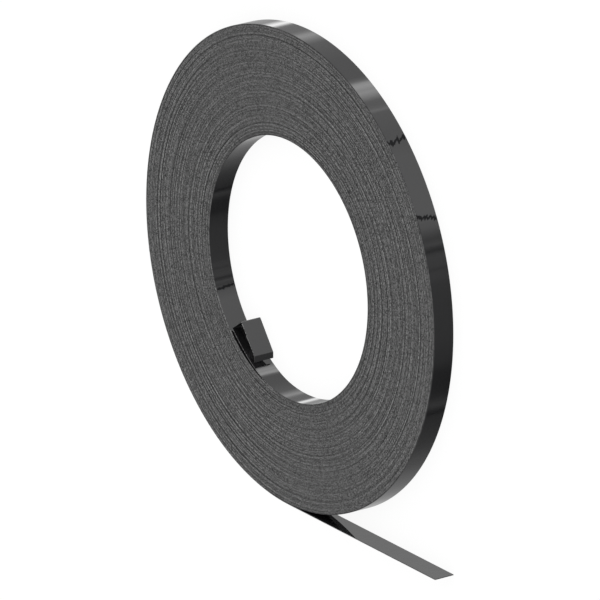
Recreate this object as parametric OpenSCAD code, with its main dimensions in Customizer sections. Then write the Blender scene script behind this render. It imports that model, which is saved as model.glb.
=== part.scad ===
// Coil of steel strapping: one strip of black-painted steel, ribbon wound lap on lap round a core
// that has been drawn out. It lies on one end. The loose outer end runs out straight beside it, on
// edge, and the inner end is folded into an open hook that the winding arbor held.
// The origin is at the middle of the coil's lower end. The axis is Z, and the loose end points
// along +X.

/* [Strip] */
// Width of the strip, and so the height of the coil
strap_w = 25.4; // [12:0.1:50]
// Thickness of the strip, and so of one lap
strap_t = 1; // [0.5:0.1:1.5]

/* [Coil] */
// Diameter of the hollow inside the innermost lap
core_d = 300; // [200:1:400]
// Diameter over the outermost lap
coil_d = 550; // [450:1:700]
// Farthest that the edge of a lap stands in from the ends of the coil
wander = 0.3; // [0.1:0.05:1]

/* [Loose outer end] */
// Length of the straight run, from where it leaves the rim to the cut end
tail_len = 277; // [120:1:600]

/* [Folded inner end] */
// Direction in which the innermost lap parts from the coil, turned from +X towards +Y
part_angle = -99; // [-180:1:180]
// Turn from there back to the first fold
fold_turn = 38; // [25:1:55]
// Widest gap between the innermost lap and the next one
bow_gap = 4.5; // [2:0.1:10]
// Turn from where the lap parts to where the gap is widest
bow_turn = 33; // [20:1:40]
// Length of the leg that steps in towards the axis
step_len = 22; // [10:0.5:35]
// Lean of that leg back towards where the lap parts
step_lean = 8; // [0:0.5:15]
// Length of the flat that faces the axis
flat_len = 41.5; // [20:0.5:60]
// Lean of the flat towards the coil at its far end
flat_lean = 6; // [0:0.5:15]
// Length of the lip that points back at the coil
lip_len = 7; // [3:0.5:14]
// Turn of the lip from the flat
lip_turn = 37; // [20:1:80]

/* [Hidden] */
$fn = 180;

coil_r = coil_d / 2;
core_r = core_d / 2;
laps = round((coil_r - core_r) / strap_t);
lap_pitch = (coil_r - core_r) / laps;
// Laps at the rim and at the hollow whose edges reach the ends of the coil
full_laps = 2;
// A wedge between laps is closed where it is thinner than this
closed_gap = 0.3;
// Multiples of the golden ratio keep every lap's edge clear of the level of its neighbours
golden_ratio = 0.618;
// Depth to which the two loose ends are rooted in the coil
root_depth = 1.5 * strap_t;
// Turn past the parting line to which the inner end is rooted
root_turn = 1;
// Step where the inner end's face comes out over the end of the innermost turn
face_step = 0.1;
// A bend is a shade thicker than the strip, so that it covers the corners of both legs
bend_d = 1.04 * strap_t;
// Stretches that the bowed part of the innermost lap is drawn in
bow_steps = 16;

// How far the edges of one lap stand in from the ends of the coil
function stand_in(lap) = wander * ((lap * golden_ratio) % 1);

// Clear distance behind the innermost lap, at a turn back from where it parts: a long low hump
function gap_at(turn) = bow_gap * (1 - cos(180 * turn / bow_turn)) / 2;

function polar(radius, angle) = radius * [cos(angle), sin(angle)];

function reversed(points) = [for (i = [len(points) - 1 : -1 : 0]) points[i]];

// A round block whose ends carry the edge of each lap at its own level. It is wide enough for the
// loose end, which is drawn at full width, as the first and last laps are.
module stepped_block() {
    stepped = [full_laps : laps - full_laps - 1];
    edges = [for (lap = stepped, side = [0, 1])
        [core_r + (lap + side) * lap_pitch, strap_w / 2 - stand_in(lap)]];
    reach = norm([tail_len, coil_r]) + strap_t;
    inner = [[0, strap_w / 2], [edges[0].x, strap_w / 2]];
    outer = [[edges[len(edges) - 1].x, strap_w / 2], [reach, strap_w / 2]];
    half = concat(inner, edges, outer);
    rotate_extrude()
        polygon(concat(half, reversed([for (p = half) [p.x, -p.y]])));
}

// A disc whose edge climbs by the strip's thickness in a full turn: four quarters, each struck
// from its own centre, with a step where the turn closes, towards +X
module spiral_disc(start_r) {
    climb = strap_t / 4;
    centres = [[-climb / 2, 0], [-climb / 2, -climb], [climb / 2, -climb], [climb / 2, 0]];
    circle(start_r / 2);
    for (quarter = [0 : 3])
        translate(centres[quarter])
            rotate(90 * quarter)
                intersection() {
                    circle(start_r + climb * (quarter + 0.5));
                    square(2 * start_r);
                }
}

// The loose end, seen from above. It leaves the rim along +X.
module outer_end() {
    // The strip leaves the rim slowly, so the first stretch is closed up to the coil
    root_len = sqrt(2 * coil_r * closed_gap);
    translate([0, -coil_r]) {
        square([tail_len, strap_t]);
        square([root_len, root_depth]);
    }
}

// One straight leg of the fold, with its bend. The next leg starts from its far end.
module leg(length, turn) {
    rotate(turn) {
        circle(d = bend_d);
        translate([0, -strap_t / 2])
            square([length, strap_t]);
        translate([length, 0])
            children();
    }
}

// The innermost lap, seen from above: it parts from the coil, stands off it and ends in the open
// hook. It is drawn as if it parted along -Y from a coil whose parting line is +X.
module inner_end() {
    face_r = core_r + face_step;
    turns = [for (i = [0 : bow_steps]) i * fold_turn / bow_steps];
    open_turns = [for (turn = turns) if (gap_at(turn) > closed_gap) turn];
    near_side = [for (turn = turns) polar(face_r - gap_at(turn), -turn)];
    far_side = [for (turn = open_turns) polar(face_r + strap_t - gap_at(turn), -turn)];
    root_r = core_r + root_depth;
    root = [polar(root_r, -open_turns[0]), polar(root_r, root_turn), polar(face_r, root_turn)];
    polygon(concat(near_side, reversed(far_side), root));
    rotate(-fold_turn)
        translate([face_r + strap_t / 2 - gap_at(fold_turn), 0])
            leg(step_len, 180 - step_lean)
                leg(flat_len, step_lean - 90 - flat_lean)
                    leg(lip_len, -lip_turn)
                        circle(d = strap_t);
}

// The space inside the innermost lap and round the folded end
module hollow() {
    rotate(part_angle)
        difference() {
            spiral_disc(core_r);
            inner_end();
        }
}

module strap_coil() {
    color("#2b2b2c")
        translate([0, 0, strap_w / 2])
            intersection() {
                stepped_block();
                linear_extrude(2 * strap_w, center = true)
                    difference() {
                        union() {
                            rotate(-90)
                                spiral_disc(coil_r - strap_t);
                            outer_end();
                        }
                        hollow();
                    }
            }
}

strap_coil();
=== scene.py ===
# Coil of steel strapping: one strip of black-painted steel, ribbon wound lap on lap round a core that
# has been drawn out. It lies on one end, with the loose outer end run out straight beside it and the
# inner end folded into the open hook that the winding arbor held.
import math

import bmesh
import bpy
from mathutils import Matrix, Vector, noise


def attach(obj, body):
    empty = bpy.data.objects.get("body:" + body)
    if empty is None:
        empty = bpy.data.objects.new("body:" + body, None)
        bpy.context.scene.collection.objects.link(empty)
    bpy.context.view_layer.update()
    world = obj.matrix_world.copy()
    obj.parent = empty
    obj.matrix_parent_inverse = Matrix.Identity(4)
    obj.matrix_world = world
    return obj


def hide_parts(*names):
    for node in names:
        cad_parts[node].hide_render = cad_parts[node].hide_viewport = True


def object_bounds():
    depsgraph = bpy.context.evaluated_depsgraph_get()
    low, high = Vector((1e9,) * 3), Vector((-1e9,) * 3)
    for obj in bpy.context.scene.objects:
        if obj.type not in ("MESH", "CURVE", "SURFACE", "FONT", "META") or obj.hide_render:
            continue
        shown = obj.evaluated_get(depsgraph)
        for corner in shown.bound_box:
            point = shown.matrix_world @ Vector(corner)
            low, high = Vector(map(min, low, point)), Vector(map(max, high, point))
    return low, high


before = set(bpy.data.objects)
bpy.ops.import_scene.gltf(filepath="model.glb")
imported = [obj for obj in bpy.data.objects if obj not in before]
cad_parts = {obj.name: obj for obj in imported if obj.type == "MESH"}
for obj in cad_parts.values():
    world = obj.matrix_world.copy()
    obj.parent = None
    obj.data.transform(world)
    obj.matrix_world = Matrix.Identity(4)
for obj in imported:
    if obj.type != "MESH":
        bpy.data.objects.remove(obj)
cad_low, cad_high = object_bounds()

# ---------------------------------------------------------------------------------------------------
# Camera. A long lens, far off, that looks down across the coil and is rolled until +Y points up in
# the picture.
camera_azimuth = math.radians(24.170)
camera_elevation = math.radians(32.743)
camera_distance = 11.3536
camera_aim = Vector((0.00542, -0.03578, 0.0127))

towards_camera = Vector((
    math.cos(camera_elevation) * math.cos(camera_azimuth),
    math.cos(camera_elevation) * math.sin(camera_azimuth),
    math.sin(camera_elevation),
))
picture_right = Vector((0, 1, 0)).cross(towards_camera).normalized()
picture_up = towards_camera.cross(picture_right)
camera_data = bpy.data.cameras.new("camera")
camera_data.lens = 621.5
camera_data.sensor_width = 36
camera_data.clip_end = 100
camera = bpy.data.objects.new("camera", camera_data)
camera.matrix_world = (
    Matrix.Translation(camera_aim + camera_distance * towards_camera)
    @ Matrix((picture_right, picture_up, towards_camera)).transposed().to_4x4()
)
bpy.context.scene.collection.objects.link(camera)
bpy.context.scene.camera = camera

# ---------------------------------------------------------------------------------------------------
# Studio. A white floor without a horizon, with pale walls and lamps all round. The world draws them
# as bands of light by their bearing from +X, and the gloss paint mirrors them. The lamps stand low.
scene = bpy.context.scene
scene.view_settings.view_transform = "Standard"
wall_bands = [
    # bearing in degrees, brightness
    # A grey wall
    (-180, 0.66), (-170, 0.53), (-150, 0.54), (-139, 0.66), (-132, 0.62), (-105, 0.57),
    # that falls away into a dark corner
    (-98, 0.48), (-92, 0.45), (-84, 0.33), (-78, 0.27), (-66, 0.20), (-53, 0.15), (-48, 0.11),
    (-41, 0.12),
    # A second grey wall, brighter towards its far end
    (-36, 0.27), (-24, 0.41), (-4, 0.47), (2, 0.51), (4, 0.63), (12, 0.70), (19, 0.88), (24, 0.88),
    # A wall that is lit
    (28, 1.50), (35, 1.80), (62, 1.72), (74, 1.45), (92, 1.60),
    # and dims towards the first one
    (110, 1.12), (122, 0.94), (156, 0.74), (163, 0.59), (180, 0.66),
]
lamp_bands = [
    # bearing and added brightness, one lamp to a line
    (-61, 0), (-58.5, 0.24), (-56, 0.12), (-53, 0),
    (88, 0), (89, 1.3), (90.2, 0.05), (94, 0),
    (98, 2.1), (100, 2.8), (101, 2.2), (102, 2.8), (105, 3.3), (106.5, 0.9), (109, 0),
    (141, 0), (149.5, 1.0), (151.5, 0.75), (153.5, 0.25), (156, 0),
    (166.2, 0), (167.7, 0.35), (169.3, 1.5), (171.6, 2.25), (173.8, 1.65), (176.3, 0.65), (179.5, 0),
]
seam_bands = [
    # bearing and share of the light that is left, one seam between wall panels to a line. The edge
    # of the darkest one catches some light.
    (-65, 1), (-63, 0.3), (-61, 1),
    (7, 1), (8, 0.6), (9, 1),
    (15, 1), (16.5, 0.45), (18, 0.25), (18.7, 1.1),
    (20.5, 1), (22, 0.7), (23.5, 1),
]
# Heights, as the sine of the angle above the horizon, between which the lamps end, and between which
# the walls give way to the ceiling
lamp_top = (-0.1, 0)
wall_top = (0, 0.7)
ceiling_light = 0.8
world = bpy.data.worlds.new("studio")
scene.world = world
world.use_nodes = True
nodes, links = world.node_tree.nodes, world.node_tree.links
nodes.clear()


def work_out(tree, operation, *values):
    """A math node on values that are sockets or plain numbers. Returns its result."""
    node = tree.nodes.new("ShaderNodeMath")
    node.operation = operation
    for slot, value in zip(node.inputs, values):
        if isinstance(value, bpy.types.NodeSocket):
            tree.links.new(value, slot)
        else:
            slot.default_value = value
    return node.outputs["Value"]


def remap(tree, value, from_low, from_high, to_low=0, to_high=1):
    """A smooth change from one range to another, held level outside it. Returns its result."""
    node = tree.nodes.new("ShaderNodeMapRange")
    node.interpolation_type = "SMOOTHSTEP"
    tree.links.new(value, node.inputs["Value"])
    node.inputs["From Min"].default_value = from_low
    node.inputs["From Max"].default_value = from_high
    node.inputs["To Min"].default_value = to_low
    node.inputs["To Max"].default_value = to_high
    return node.outputs["Result"]


def light_by_bearing(tree, bearing, bands):
    """Brightness read off a list of bearings."""
    full_scale = max(brightness for _, brightness in bands)
    ramp = tree.nodes.new("ShaderNodeValToRGB")
    for _ in range(len(bands) - 2):
        ramp.color_ramp.elements.new(0.5)
    for element, (degrees, brightness) in zip(ramp.color_ramp.elements, bands):
        element.position = degrees / 360 + 0.5
        element.color = (*[brightness / full_scale] * 3, 1)
    tree.links.new(bearing, ramp.inputs["Fac"])
    return work_out(tree, "MULTIPLY", ramp.outputs["Color"], full_scale)


direction = nodes.new("ShaderNodeTexCoord")
bearing = nodes.new("ShaderNodeTexGradient")
bearing.gradient_type = "RADIAL"
links.new(direction.outputs["Generated"], bearing.inputs["Vector"])
height = nodes.new("ShaderNodeSeparateXYZ")
links.new(direction.outputs["Generated"], height.inputs["Vector"])
tree = world.node_tree
walls = light_by_bearing(tree, bearing.outputs["Fac"], wall_bands)
lamps = light_by_bearing(tree, bearing.outputs["Fac"], lamp_bands)
seams = light_by_bearing(tree, bearing.outputs["Fac"], seam_bands)
lamps = work_out(tree, "MULTIPLY", lamps, remap(tree, height.outputs["Z"], *lamp_top, 1, 0))
light = work_out(tree, "MULTIPLY", work_out(tree, "ADD", walls, lamps), seams)
overhead = remap(tree, height.outputs["Z"], *wall_top)
light = work_out(tree, "MULTIPLY", light, work_out(tree, "SUBTRACT", 1, overhead))
light = work_out(tree, "ADD", light, work_out(tree, "MULTIPLY", overhead, ceiling_light))
# The coil is lit by the studio and mirrors it, while the camera sees plain white behind the coil
studio_light = nodes.new("ShaderNodeBackground")
links.new(light, studio_light.inputs["Strength"])
studio_light.inputs["Color"].default_value = (1, 1, 1, 1)
white_backdrop = nodes.new("ShaderNodeBackground")
white_backdrop.inputs["Color"].default_value = (1, 1, 1, 1)
path = nodes.new("ShaderNodeLightPath")
mix = nodes.new("ShaderNodeMixShader")
output = nodes.new("ShaderNodeOutputWorld")
links.new(path.outputs["Is Camera Ray"], mix.inputs["Fac"])
links.new(studio_light.outputs["Background"], mix.inputs[1])
links.new(white_backdrop.outputs["Background"], mix.inputs[2])
links.new(mix.outputs["Shader"], output.inputs["Surface"])

floor_reach = 30
floor_mesh = bmesh.new()
bmesh.ops.create_grid(floor_mesh, x_segments=1, y_segments=1, size=floor_reach)
floor_data = bpy.data.meshes.new("studio_floor")
floor_mesh.to_mesh(floor_data)
floor_mesh.free()
floor = bpy.data.objects.new("studio_floor", floor_data)
scene.collection.objects.link(floor)
# The floor throws light as matt paint does. The camera sees it glow white, with a faint shadow on
# it, and reflections pass through it to the studio.
floor_white = bpy.data.materials.new("floor_white")
floor_white.use_nodes = True
nodes, links = floor_white.node_tree.nodes, floor_white.node_tree.links
nodes.clear()
path = nodes.new("ShaderNodeLightPath")
matt = nodes.new("ShaderNodeBsdfDiffuse")
matt.inputs["Color"].default_value = (0.9, 0.9, 0.9, 1)
faint = nodes.new("ShaderNodeBsdfDiffuse")
faint.inputs["Color"].default_value = (0.15, 0.15, 0.15, 1)
glow = nodes.new("ShaderNodeEmission")
glow.inputs["Strength"].default_value = 0.9
seen = nodes.new("ShaderNodeAddShader")
by_eye = nodes.new("ShaderNodeMixShader")
clear = nodes.new("ShaderNodeBsdfTransparent")
by_gloss = nodes.new("ShaderNodeMixShader")
output = nodes.new("ShaderNodeOutputMaterial")
links.new(faint.outputs["BSDF"], seen.inputs[0])
links.new(glow.outputs["Emission"], seen.inputs[1])
links.new(path.outputs["Is Camera Ray"], by_eye.inputs["Fac"])
links.new(matt.outputs["BSDF"], by_eye.inputs[1])
links.new(seen.outputs["Shader"], by_eye.inputs[2])
links.new(path.outputs["Is Glossy Ray"], by_gloss.inputs["Fac"])
links.new(by_eye.outputs["Shader"], by_gloss.inputs[1])
links.new(clear.outputs["BSDF"], by_gloss.inputs[2])
links.new(by_gloss.outputs["Shader"], output.inputs["Surface"])
floor_data.materials.append(floor_white)

# ---------------------------------------------------------------------------------------------------
# Wound laps. Cold-rolled strip with slit edges, painted gloss black and wound tight, each lap on the
# one before. The edges wander a little from lap to lap, which shows on the ends of the coil.
strip_width = cad_high.z - cad_low.z
strip_thickness = 0.001
coil_radius = -cad_low.y
core_radius = 0.150
paint_gap = 0.00004
slit_round = 0.0001
edge_wander = 0.00014
inner_line = core_radius + strip_thickness / 2
outer_line = coil_radius - strip_thickness / 2
parting = math.radians(-99)
run_off = math.radians(-90)
lap_turns = round((outer_line - inner_line) / strip_thickness) + (run_off - parting) / (2 * math.pi)
lap_pitch = (outer_line - inner_line) / lap_turns

# Gloss paint, faintly wavy, with the dull marks that the ties left across the coil
tie_marks = [
    # bearing, half width, and how far on the lower edge lies than the upper, all in degrees
    (28.1, 0.50, -1.1), (47.1, 0.55, 1.0), (204.5, 0.62, -1.0),
]
# How far a mark wavers on its way across the strip, in degrees
tie_waver = 2.2
# Fray of a mark's sides, and where it starts to fade and where it is gone, in its half widths
tie_fray = 1.8
tie_fade = (0.6, 1.2)
# Clean paint, and paint that a tie has dulled
paint_specular = (0.5, 0.05)
paint_roughness = (0.03, 0.3)
gloss_paint = bpy.data.materials.new("gloss_black_paint")
gloss_paint.use_nodes = True
tree = gloss_paint.node_tree
nodes, links = tree.nodes, tree.links
paint = nodes["Principled BSDF"]
paint.inputs["Base Color"].default_value = (0.013, 0.013, 0.014, 1)
paint.inputs["IOR"].default_value = 1.5
place = nodes.new("ShaderNodeTexCoord")
bearing = nodes.new("ShaderNodeTexGradient")
bearing.gradient_type = "RADIAL"
links.new(place.outputs["Object"], bearing.inputs["Vector"])
height = nodes.new("ShaderNodeSeparateXYZ")
links.new(place.outputs["Object"], height.inputs["Vector"])
waver = nodes.new("ShaderNodeTexNoise")
waver.noise_dimensions = "1D"
waver.inputs["Scale"].default_value = 260
waver.inputs["Detail"].default_value = 4
links.new(work_out(tree, "ADD", height.outputs["Z"], bearing.outputs["Fac"]), waver.inputs["W"])
fray = nodes.new("ShaderNodeTexNoise")
fray.inputs["Scale"].default_value = 450
links.new(place.outputs["Object"], fray.inputs["Vector"])
shifted = work_out(tree, "MULTIPLY_ADD", waver.outputs["Fac"], tie_waver / 360, bearing.outputs["Fac"])
down_the_width = work_out(tree, "MULTIPLY_ADD", height.outputs["Z"], -1 / strip_width, 0.5)
half_widths_off = 100
for degrees, half_width, slant in tie_marks:
    # The gradient runs from 0 to 1 while the bearing runs from -180 to 180 degrees
    turned = ((degrees + 180) % 360 - 180) / 360 + 0.5 + tie_waver / 720
    slanted = work_out(tree, "MULTIPLY_ADD", down_the_width, slant / 360, turned)
    apart = work_out(tree, "ABSOLUTE", work_out(tree, "SUBTRACT", shifted, slanted))
    apart = work_out(tree, "MULTIPLY", apart, 360 / half_width)
    half_widths_off = work_out(tree, "MINIMUM", apart, half_widths_off)
frayed = work_out(tree, "MULTIPLY_ADD", fray.outputs["Fac"], tie_fray, -tie_fray / 2)
half_widths_off = work_out(tree, "ADD", half_widths_off, frayed)
dull = remap(tree, half_widths_off, *tie_fade, 1, 0)
links.new(remap(tree, dull, 0, 1, *paint_specular), paint.inputs["Specular IOR Level"])
links.new(remap(tree, dull, 0, 1, *paint_roughness), paint.inputs["Roughness"])
ripple = nodes.new("ShaderNodeTexNoise")
ripple.inputs["Scale"].default_value = 70
ripple.inputs["Detail"].default_value = 2
links.new(place.outputs["Object"], ripple.inputs["Vector"])
relief = nodes.new("ShaderNodeBump")
relief.inputs["Distance"].default_value = 0.00003
links.new(ripple.outputs["Fac"], relief.inputs["Height"])
links.new(relief.outputs["Normal"], paint.inputs["Normal"])

# Slit edges: thinly painted and rough, each lap with its own run of light and dark, and speckled.
# The streaks stand partly for painted shade of the steps between laps. At two opposite stretches of the
# coil's end that painted shade is fainter, so the streaks there have less contrast.
faint_shade_bearing = math.radians(108)
# Where such a stretch starts to fade and where it is gone, as the sine of the bearing off its middle
faint_shade_fade = (0.1, 0.7)
# Contrast in the stretch, and elsewhere
lap_contrast = (1.4, 3.4)
speckle_contrast = (1.3, 1.65)
specks_per_metre = 800
darkest_streak = 0.2
mean_tone = 0.1235
slit_edge = bpy.data.materials.new("painted_slit_edge")
slit_edge.use_nodes = True
tree = slit_edge.node_tree
nodes, links = tree.nodes, tree.links
edge = nodes["Principled BSDF"]
edge.inputs["Roughness"].default_value = 0.6
edge.inputs["IOR"].default_value = 1.5
edge.inputs["Specular IOR Level"].default_value = 0.25
length_along = nodes.new("ShaderNodeAttribute")
length_along.attribute_name = "along"
wound = length_along.outputs["Fac"]


def tone_along(tree, wound):
    """Light and dark that run along the strip, at a length of strip wound on."""
    golden_ratio = 0.618
    runs = tree.nodes.new("ShaderNodeCombineXYZ")
    tree.links.new(wound, runs.inputs["X"])
    tree.links.new(work_out(tree, "MULTIPLY", wound, golden_ratio), runs.inputs["Y"])
    tone = tree.nodes.new("ShaderNodeTexNoise")
    tone.noise_dimensions = "2D"
    tone.inputs["Scale"].default_value = 1.3
    tone.inputs["Detail"].default_value = 3
    tone.inputs["Roughness"].default_value = 0.6
    tree.links.new(runs.outputs["Vector"], tone.inputs["Vector"])
    return tone.outputs["Fac"]


# A lap shows light where the second one outside it is dark, so no broad rings form
radius = work_out(tree, "SQRT", work_out(tree, "MULTIPLY_ADD", wound, lap_pitch / math.pi, inner_line ** 2))
two_laps_out = work_out(tree, "MULTIPLY_ADD", radius, 4 * math.pi, wound)
two_laps_out = work_out(tree, "ADD", two_laps_out, 4 * math.pi * lap_pitch)
set_off = work_out(tree, "SUBTRACT", tone_along(tree, wound), tone_along(tree, two_laps_out))
speck = nodes.new("ShaderNodeTexWhiteNoise")
speck.noise_dimensions = "1D"
specks_wound = work_out(tree, "FLOOR", work_out(tree, "MULTIPLY", wound, specks_per_metre))
links.new(specks_wound, speck.inputs["W"])
place = nodes.new("ShaderNodeTexCoord")
outwards = nodes.new("ShaderNodeVectorMath")
outwards.operation = "NORMALIZE"
links.new(place.outputs["Object"], outwards.inputs[0])
off_faint_shade = nodes.new("ShaderNodeVectorMath")
off_faint_shade.operation = "DOT_PRODUCT"
off_faint_shade.inputs[1].default_value = (math.sin(faint_shade_bearing), -math.cos(faint_shade_bearing), 0)
links.new(outwards.outputs["Vector"], off_faint_shade.inputs[0])
off_faint_shade = work_out(tree, "ABSOLUTE", off_faint_shade.outputs["Value"])
contrast = remap(tree, off_faint_shade, *faint_shade_fade, *lap_contrast)
streaks = work_out(tree, "MULTIPLY_ADD", set_off, contrast, 1)
streaks = work_out(tree, "MAXIMUM", streaks, darkest_streak)
contrast = remap(tree, off_faint_shade, *faint_shade_fade, *speckle_contrast)
grain = work_out(tree, "SUBTRACT", speck.outputs["Value"], 0.5)
grain = work_out(tree, "MULTIPLY_ADD", grain, contrast, 1)
# An edge's painted light is 0 where it is plain, less where shade is painted on it and more where a
# highlight is painted on it
edge_painted_light = nodes.new("ShaderNodeAttribute")
edge_painted_light.attribute_name = "painted_light"
lit_tone = work_out(tree, "MULTIPLY_ADD", edge_painted_light.outputs["Fac"], mean_tone, mean_tone)
tone = work_out(tree, "MULTIPLY", work_out(tree, "MULTIPLY", streaks, grain), lit_tone)
grey = nodes.new("ShaderNodeCombineColor")
for channel in grey.inputs:
    links.new(tone, channel)
links.new(grey.outputs["Color"], edge.inputs["Base Color"])


def length_to(radius):
    """Length of strip wound on the core out to a radius of its middle line."""
    return math.pi * (radius ** 2 - inner_line ** 2) / lap_pitch


def form_strip(line, name, corner):
    """Gives a line its strip: stood up to the width, thickened both ways, its corners broken."""
    risen = bmesh.ops.extrude_edge_only(line, edges=list(line.edges))["geom"]
    upper = [g for g in risen if isinstance(g, bmesh.types.BMVert)]
    width = strip_width - 2 * edge_wander
    bmesh.ops.translate(line, verts=upper, vec=(0, 0, width))
    bmesh.ops.translate(line, verts=line.verts, vec=(0, 0, edge_wander))
    bmesh.ops.recalc_face_normals(line, faces=line.faces)
    line.normal_update()
    half = (strip_thickness - paint_gap) / 2
    for vert in line.verts:
        vert.co -= half * vert.normal
    bmesh.ops.solidify(line, geom=list(line.faces), thickness=-2 * half)
    bmesh.ops.recalc_face_normals(line, faces=line.faces)
    corner_angle = math.radians(60)
    long_edges = [e for e in line.edges if e.is_manifold and e.calc_face_angle() > corner_angle]
    bmesh.ops.bevel(line, geom=long_edges, offset=corner, affect="EDGES", segments=1, profile=0.5,
                    material=-1)
    for face in line.faces:
        face.smooth = True
        # Slit edges face straight up or down, and a broken corner is as glossy as the sides
        face.material_index = 1 if abs(face.normal.z) > 0.9 else 0
    crease_angle = math.radians(30)
    for e in line.edges:
        e.smooth = e.is_manifold and e.calc_face_angle() < crease_angle
    data = bpy.data.meshes.new(name)
    line.to_mesh(data)
    line.free()
    data.materials.append(gloss_paint)
    data.materials.append(slit_edge)
    piece = bpy.data.objects.new(name, data)
    scene.collection.objects.link(piece)
    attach(piece, "root")
    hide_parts("strap_coil")


steps_per_lap = 96
# The slit edges are painted darker next to the core, painted shade along the edge of the hollow, and plain
# a few laps out
core_shade = -0.42
shaded_laps = 4
# How fast the edges' level changes from lap to lap, and how often it reaches its full wander
wander_rate = 1.3
wander_gain = 1.8
line = bmesh.new()
along = line.verts.layers.float.new("along")
painted_light = line.verts.layers.float.new("painted_light")
middle_laps = range(1, int(lap_turns) - 1)
for lap in middle_laps:
    radius = inner_line + lap * lap_pitch
    line.verts.new((radius * math.cos(parting), radius * math.sin(parting), 0))
outward = Vector((math.cos(parting), math.sin(parting), 0)) * lap_pitch / steps_per_lap
bmesh.ops.spin(line, geom=list(line.verts), cent=(0, 0, 0), axis=(0, 0, 1), dvec=outward,
               angle=2 * math.pi, steps=steps_per_lap, use_merge=False, use_duplicate=False)
bmesh.ops.remove_doubles(line, verts=line.verts, dist=lap_pitch / 10)
for vert in line.verts:
    radius = vert.co.xy.length
    turn = (radius - inner_line) / lap_pitch
    vert[along] = length_to(radius)
    vert[painted_light] = core_shade * math.exp(-turn / shaded_laps)
    settle = min(1, turn - 1, int(lap_turns) - 1 - turn)
    drift = max(-1, min(1, wander_gain * noise.noise(Vector((turn * wander_rate, 0, 0)))))
    vert.co.z = edge_wander * max(0, settle) * drift
form_strip(line, "wound_laps", slit_round)

# ---------------------------------------------------------------------------------------------------
# Loose outer end. The last lap of the same painted strip, held by nothing. It runs off the rim in a
# straight line and ends where the strip was sheared off.
outer_steps = 288


def painted_light_at(place, painted_light_by_bearing):
    """Painted light of a slit edge, shade below 0 and highlight above, at a place on the last or the first
    lap, between the bearings given.
    """
    first = painted_light_by_bearing[0][0]
    bearing = (math.degrees(math.atan2(place.y, place.x)) - first) % 360 + first
    for (low, low_painted_light), (high, high_painted_light) in zip(painted_light_by_bearing, painted_light_by_bearing[1:]):
        if bearing <= high:
            break
    share = max(0, min(1, (bearing - low) / (high - low)))
    return low_painted_light + share * (high_painted_light - low_painted_light)


def wind_lap(line, start_radius, end_radius, angle, steps, painted_light_by_bearing):
    """Draws a lap on from the parting line, with its painted light, and returns its last vertex."""
    along = line.verts.layers.float.new("along")
    painted_light = line.verts.layers.float.new("painted_light")
    start = line.verts.new((start_radius * math.cos(parting), start_radius * math.sin(parting), 0))
    climb = Vector((math.cos(parting), math.sin(parting), 0)) * (end_radius - start_radius) / steps
    spun = bmesh.ops.spin(line, geom=[start], cent=(0, 0, 0), axis=(0, 0, 1), dvec=climb, angle=angle,
                          steps=steps, use_merge=False, use_duplicate=False)
    for vert in line.verts:
        vert[along] = length_to(vert.co.xy.length)
        vert[painted_light] = painted_light_at(vert.co, painted_light_by_bearing)
    return next(g for g in spun["geom_last"] if isinstance(g, bmesh.types.BMVert))


last_lap = inner_line + (int(lap_turns) - 1) * lap_pitch
# Its slit edge is painted dark, as painted shade, but for one stretch that carries a painted highlight
painted_light_by_bearing = [(-99, -0.5), (28, -0.5), (29, 0.6), (46, 0.6), (47, -0.25), (261, -0.25)]
turn_left = 2 * math.pi * (outer_line - last_lap) / lap_pitch
line = bmesh.new()
end = wind_lap(line, last_lap, outer_line, turn_left, outer_steps, painted_light_by_bearing)
along = line.verts.layers.float["along"]
painted_light = line.verts.layers.float["painted_light"]
end.co = (0, -outer_line, 0)
tail_steps = 12
for step in range(1, tail_steps + 1):
    wound = end[along]
    end = bmesh.ops.extrude_vert_indiv(line, verts=[end])["verts"][0]
    end.co.x = cad_high.x * step / tail_steps
    end[along] = wound + cad_high.x / tail_steps
    end[painted_light] = 0
form_strip(line, "loose_outer_end", 2 * slit_round)

# ---------------------------------------------------------------------------------------------------
# Folded inner end. The start of the same painted strip, which held by its hook in the winding arbor
# until that was drawn out. The innermost lap parts from the coil, bows off it and is folded three
# times. The hook is left open between its lip and the lap behind it.
bow_gap = 0.0045
bow_turn = math.radians(33)
fold_turn = math.radians(38)
bow_steps = 38
inner_steps = 240
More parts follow.
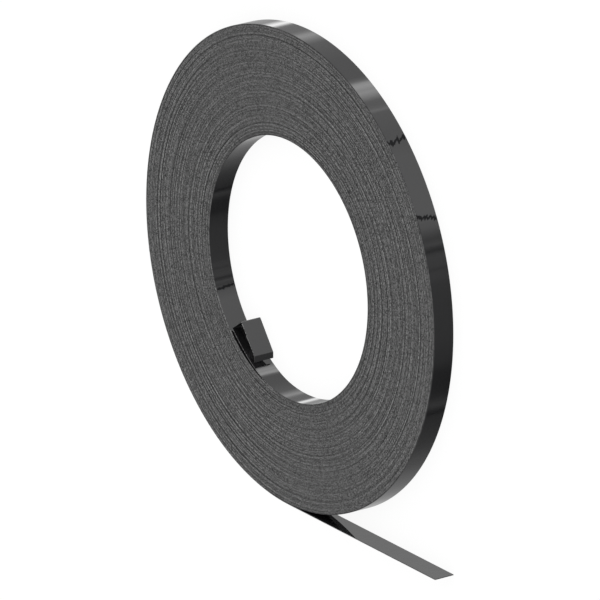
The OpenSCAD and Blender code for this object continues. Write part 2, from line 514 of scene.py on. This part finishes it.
# The slit edge is painted dark as painted shade, most of all over one stretch, but carries a painted
# highlight beside the fold and is plain behind the bow
painted_light_by_bearing = [
    (-99, -0.3), (90, -0.3), (105, -0.85), (145, -0.8), (160, -0.35), (205, -0.25), (207, 0.6),
    (228, 0.6), (230, 0), (261, 0),
]
# The bowed lap's slit edge carries a painted highlight
bow_highlight = 1.8
bend_radius = 0.0013
hook_legs = [
    # length of the leg, its turn from the line that points at the axis, and the painted highlight on its
    # edges
    (0.0220, -8, 0.2), (0.0415, -96, 5.5), (0.0070, -133, 0.3),
]
line = bmesh.new()
end = wind_lap(line, inner_line + lap_pitch, inner_line, -2 * math.pi, inner_steps, painted_light_by_bearing)
along = line.verts.layers.float["along"]
painted_light = line.verts.layers.float["painted_light"]


def lengthen(line, end, point, new_painted_light):
    """Carries the line on, inwards, from its end to a point with its painted light. Returns the new end."""
    new_end = bmesh.ops.extrude_vert_indiv(line, verts=[end])["verts"][0]
    new_end.co = point
    new_end[along] = end[along] - (new_end.co - end.co).length
    new_end[painted_light] = new_painted_light
    return new_end


for step in range(1, bow_steps + 1):
    back = fold_turn * step / bow_steps
    radius = inner_line - bow_gap * (1 - math.cos(math.pi * back / bow_turn)) / 2
    angle = parting - back
    end = lengthen(line, end, Vector((radius * math.cos(angle), radius * math.sin(angle), 0)), bow_highlight)

corner = end.co.copy()
heading = (end.co - end.link_edges[0].other_vert(end).co).normalized()
inward = -end.co.normalized()
bend_steps = 6
for number, (length, lean, leg_highlight) in enumerate(hook_legs):
    next_heading = Matrix.Rotation(math.radians(lean), 3, "Z") @ inward
    turn = -heading.xy.angle_signed(next_heading.xy)
    cut = bend_radius * math.tan(abs(turn) / 2)
    start = corner - cut * heading
    if number == 0:
        end.co = start
    else:
        end = lengthen(line, end, start, end[painted_light])
    centre = start + bend_radius * math.copysign(1, turn) * Vector((-heading.y, heading.x, 0))
    for step in range(1, bend_steps + 1):
        turned = Matrix.Rotation(turn * step / bend_steps, 3, "Z")
        end = lengthen(line, end, centre + turned @ (start - centre), leg_highlight)
    heading = next_heading
    corner = corner + length * heading
end = lengthen(line, end, corner, leg_highlight)
form_strip(line, "folded_inner_end", slit_round)
